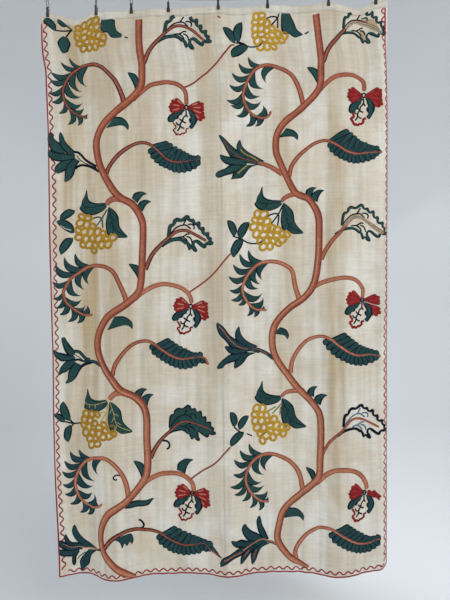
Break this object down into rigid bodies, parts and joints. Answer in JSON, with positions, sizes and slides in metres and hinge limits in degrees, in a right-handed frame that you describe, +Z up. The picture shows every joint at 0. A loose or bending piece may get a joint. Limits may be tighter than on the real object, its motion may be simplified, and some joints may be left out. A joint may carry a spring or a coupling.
{
  "type": "crewel embroidery panel with ring clips",
  "caption": "Crewel embroidered cloth hanging of joined loom widths, with a plain heading band held by black clips whose rings slide on a rod.",
  "frame": {"origin": "middle of the top edge, on the level line of the ring centres that a rod takes", "axes": "+X across the panel to the viewer's right, -Y out of the worked face, +Z up"},
  "size_m": [1.1822, 0.0663, 1.9986],
  "materials": {
    "unbleached_twill": "matt cotton and linen twill",
    "heading_linen": "matt plain linen",
    "black_enamelled_steel": "satin black enamel"
  },
  "bodies": {
    "root": {"left_width": "unbleached_twill", "right_width": "unbleached_twill", "heading_band": "heading_linen", "clip_1": "black_enamelled_steel", "clip_2": "black_enamelled_steel", "clip_3": "black_enamelled_steel", "clip_4": "black_enamelled_steel", "clip_5": "black_enamelled_steel", "clip_6": "black_enamelled_steel", "clip_7": "black_enamelled_steel", "clip_8": "black_enamelled_steel", "ring_1": "black_enamelled_steel", "ring_2": "black_enamelled_steel", "ring_3": "black_enamelled_steel", "ring_4": "black_enamelled_steel", "ring_5": "black_enamelled_steel", "ring_6": "black_enamelled_steel", "ring_7": "black_enamelled_steel", "ring_8": "black_enamelled_steel"}
  },
  "joints": []
}
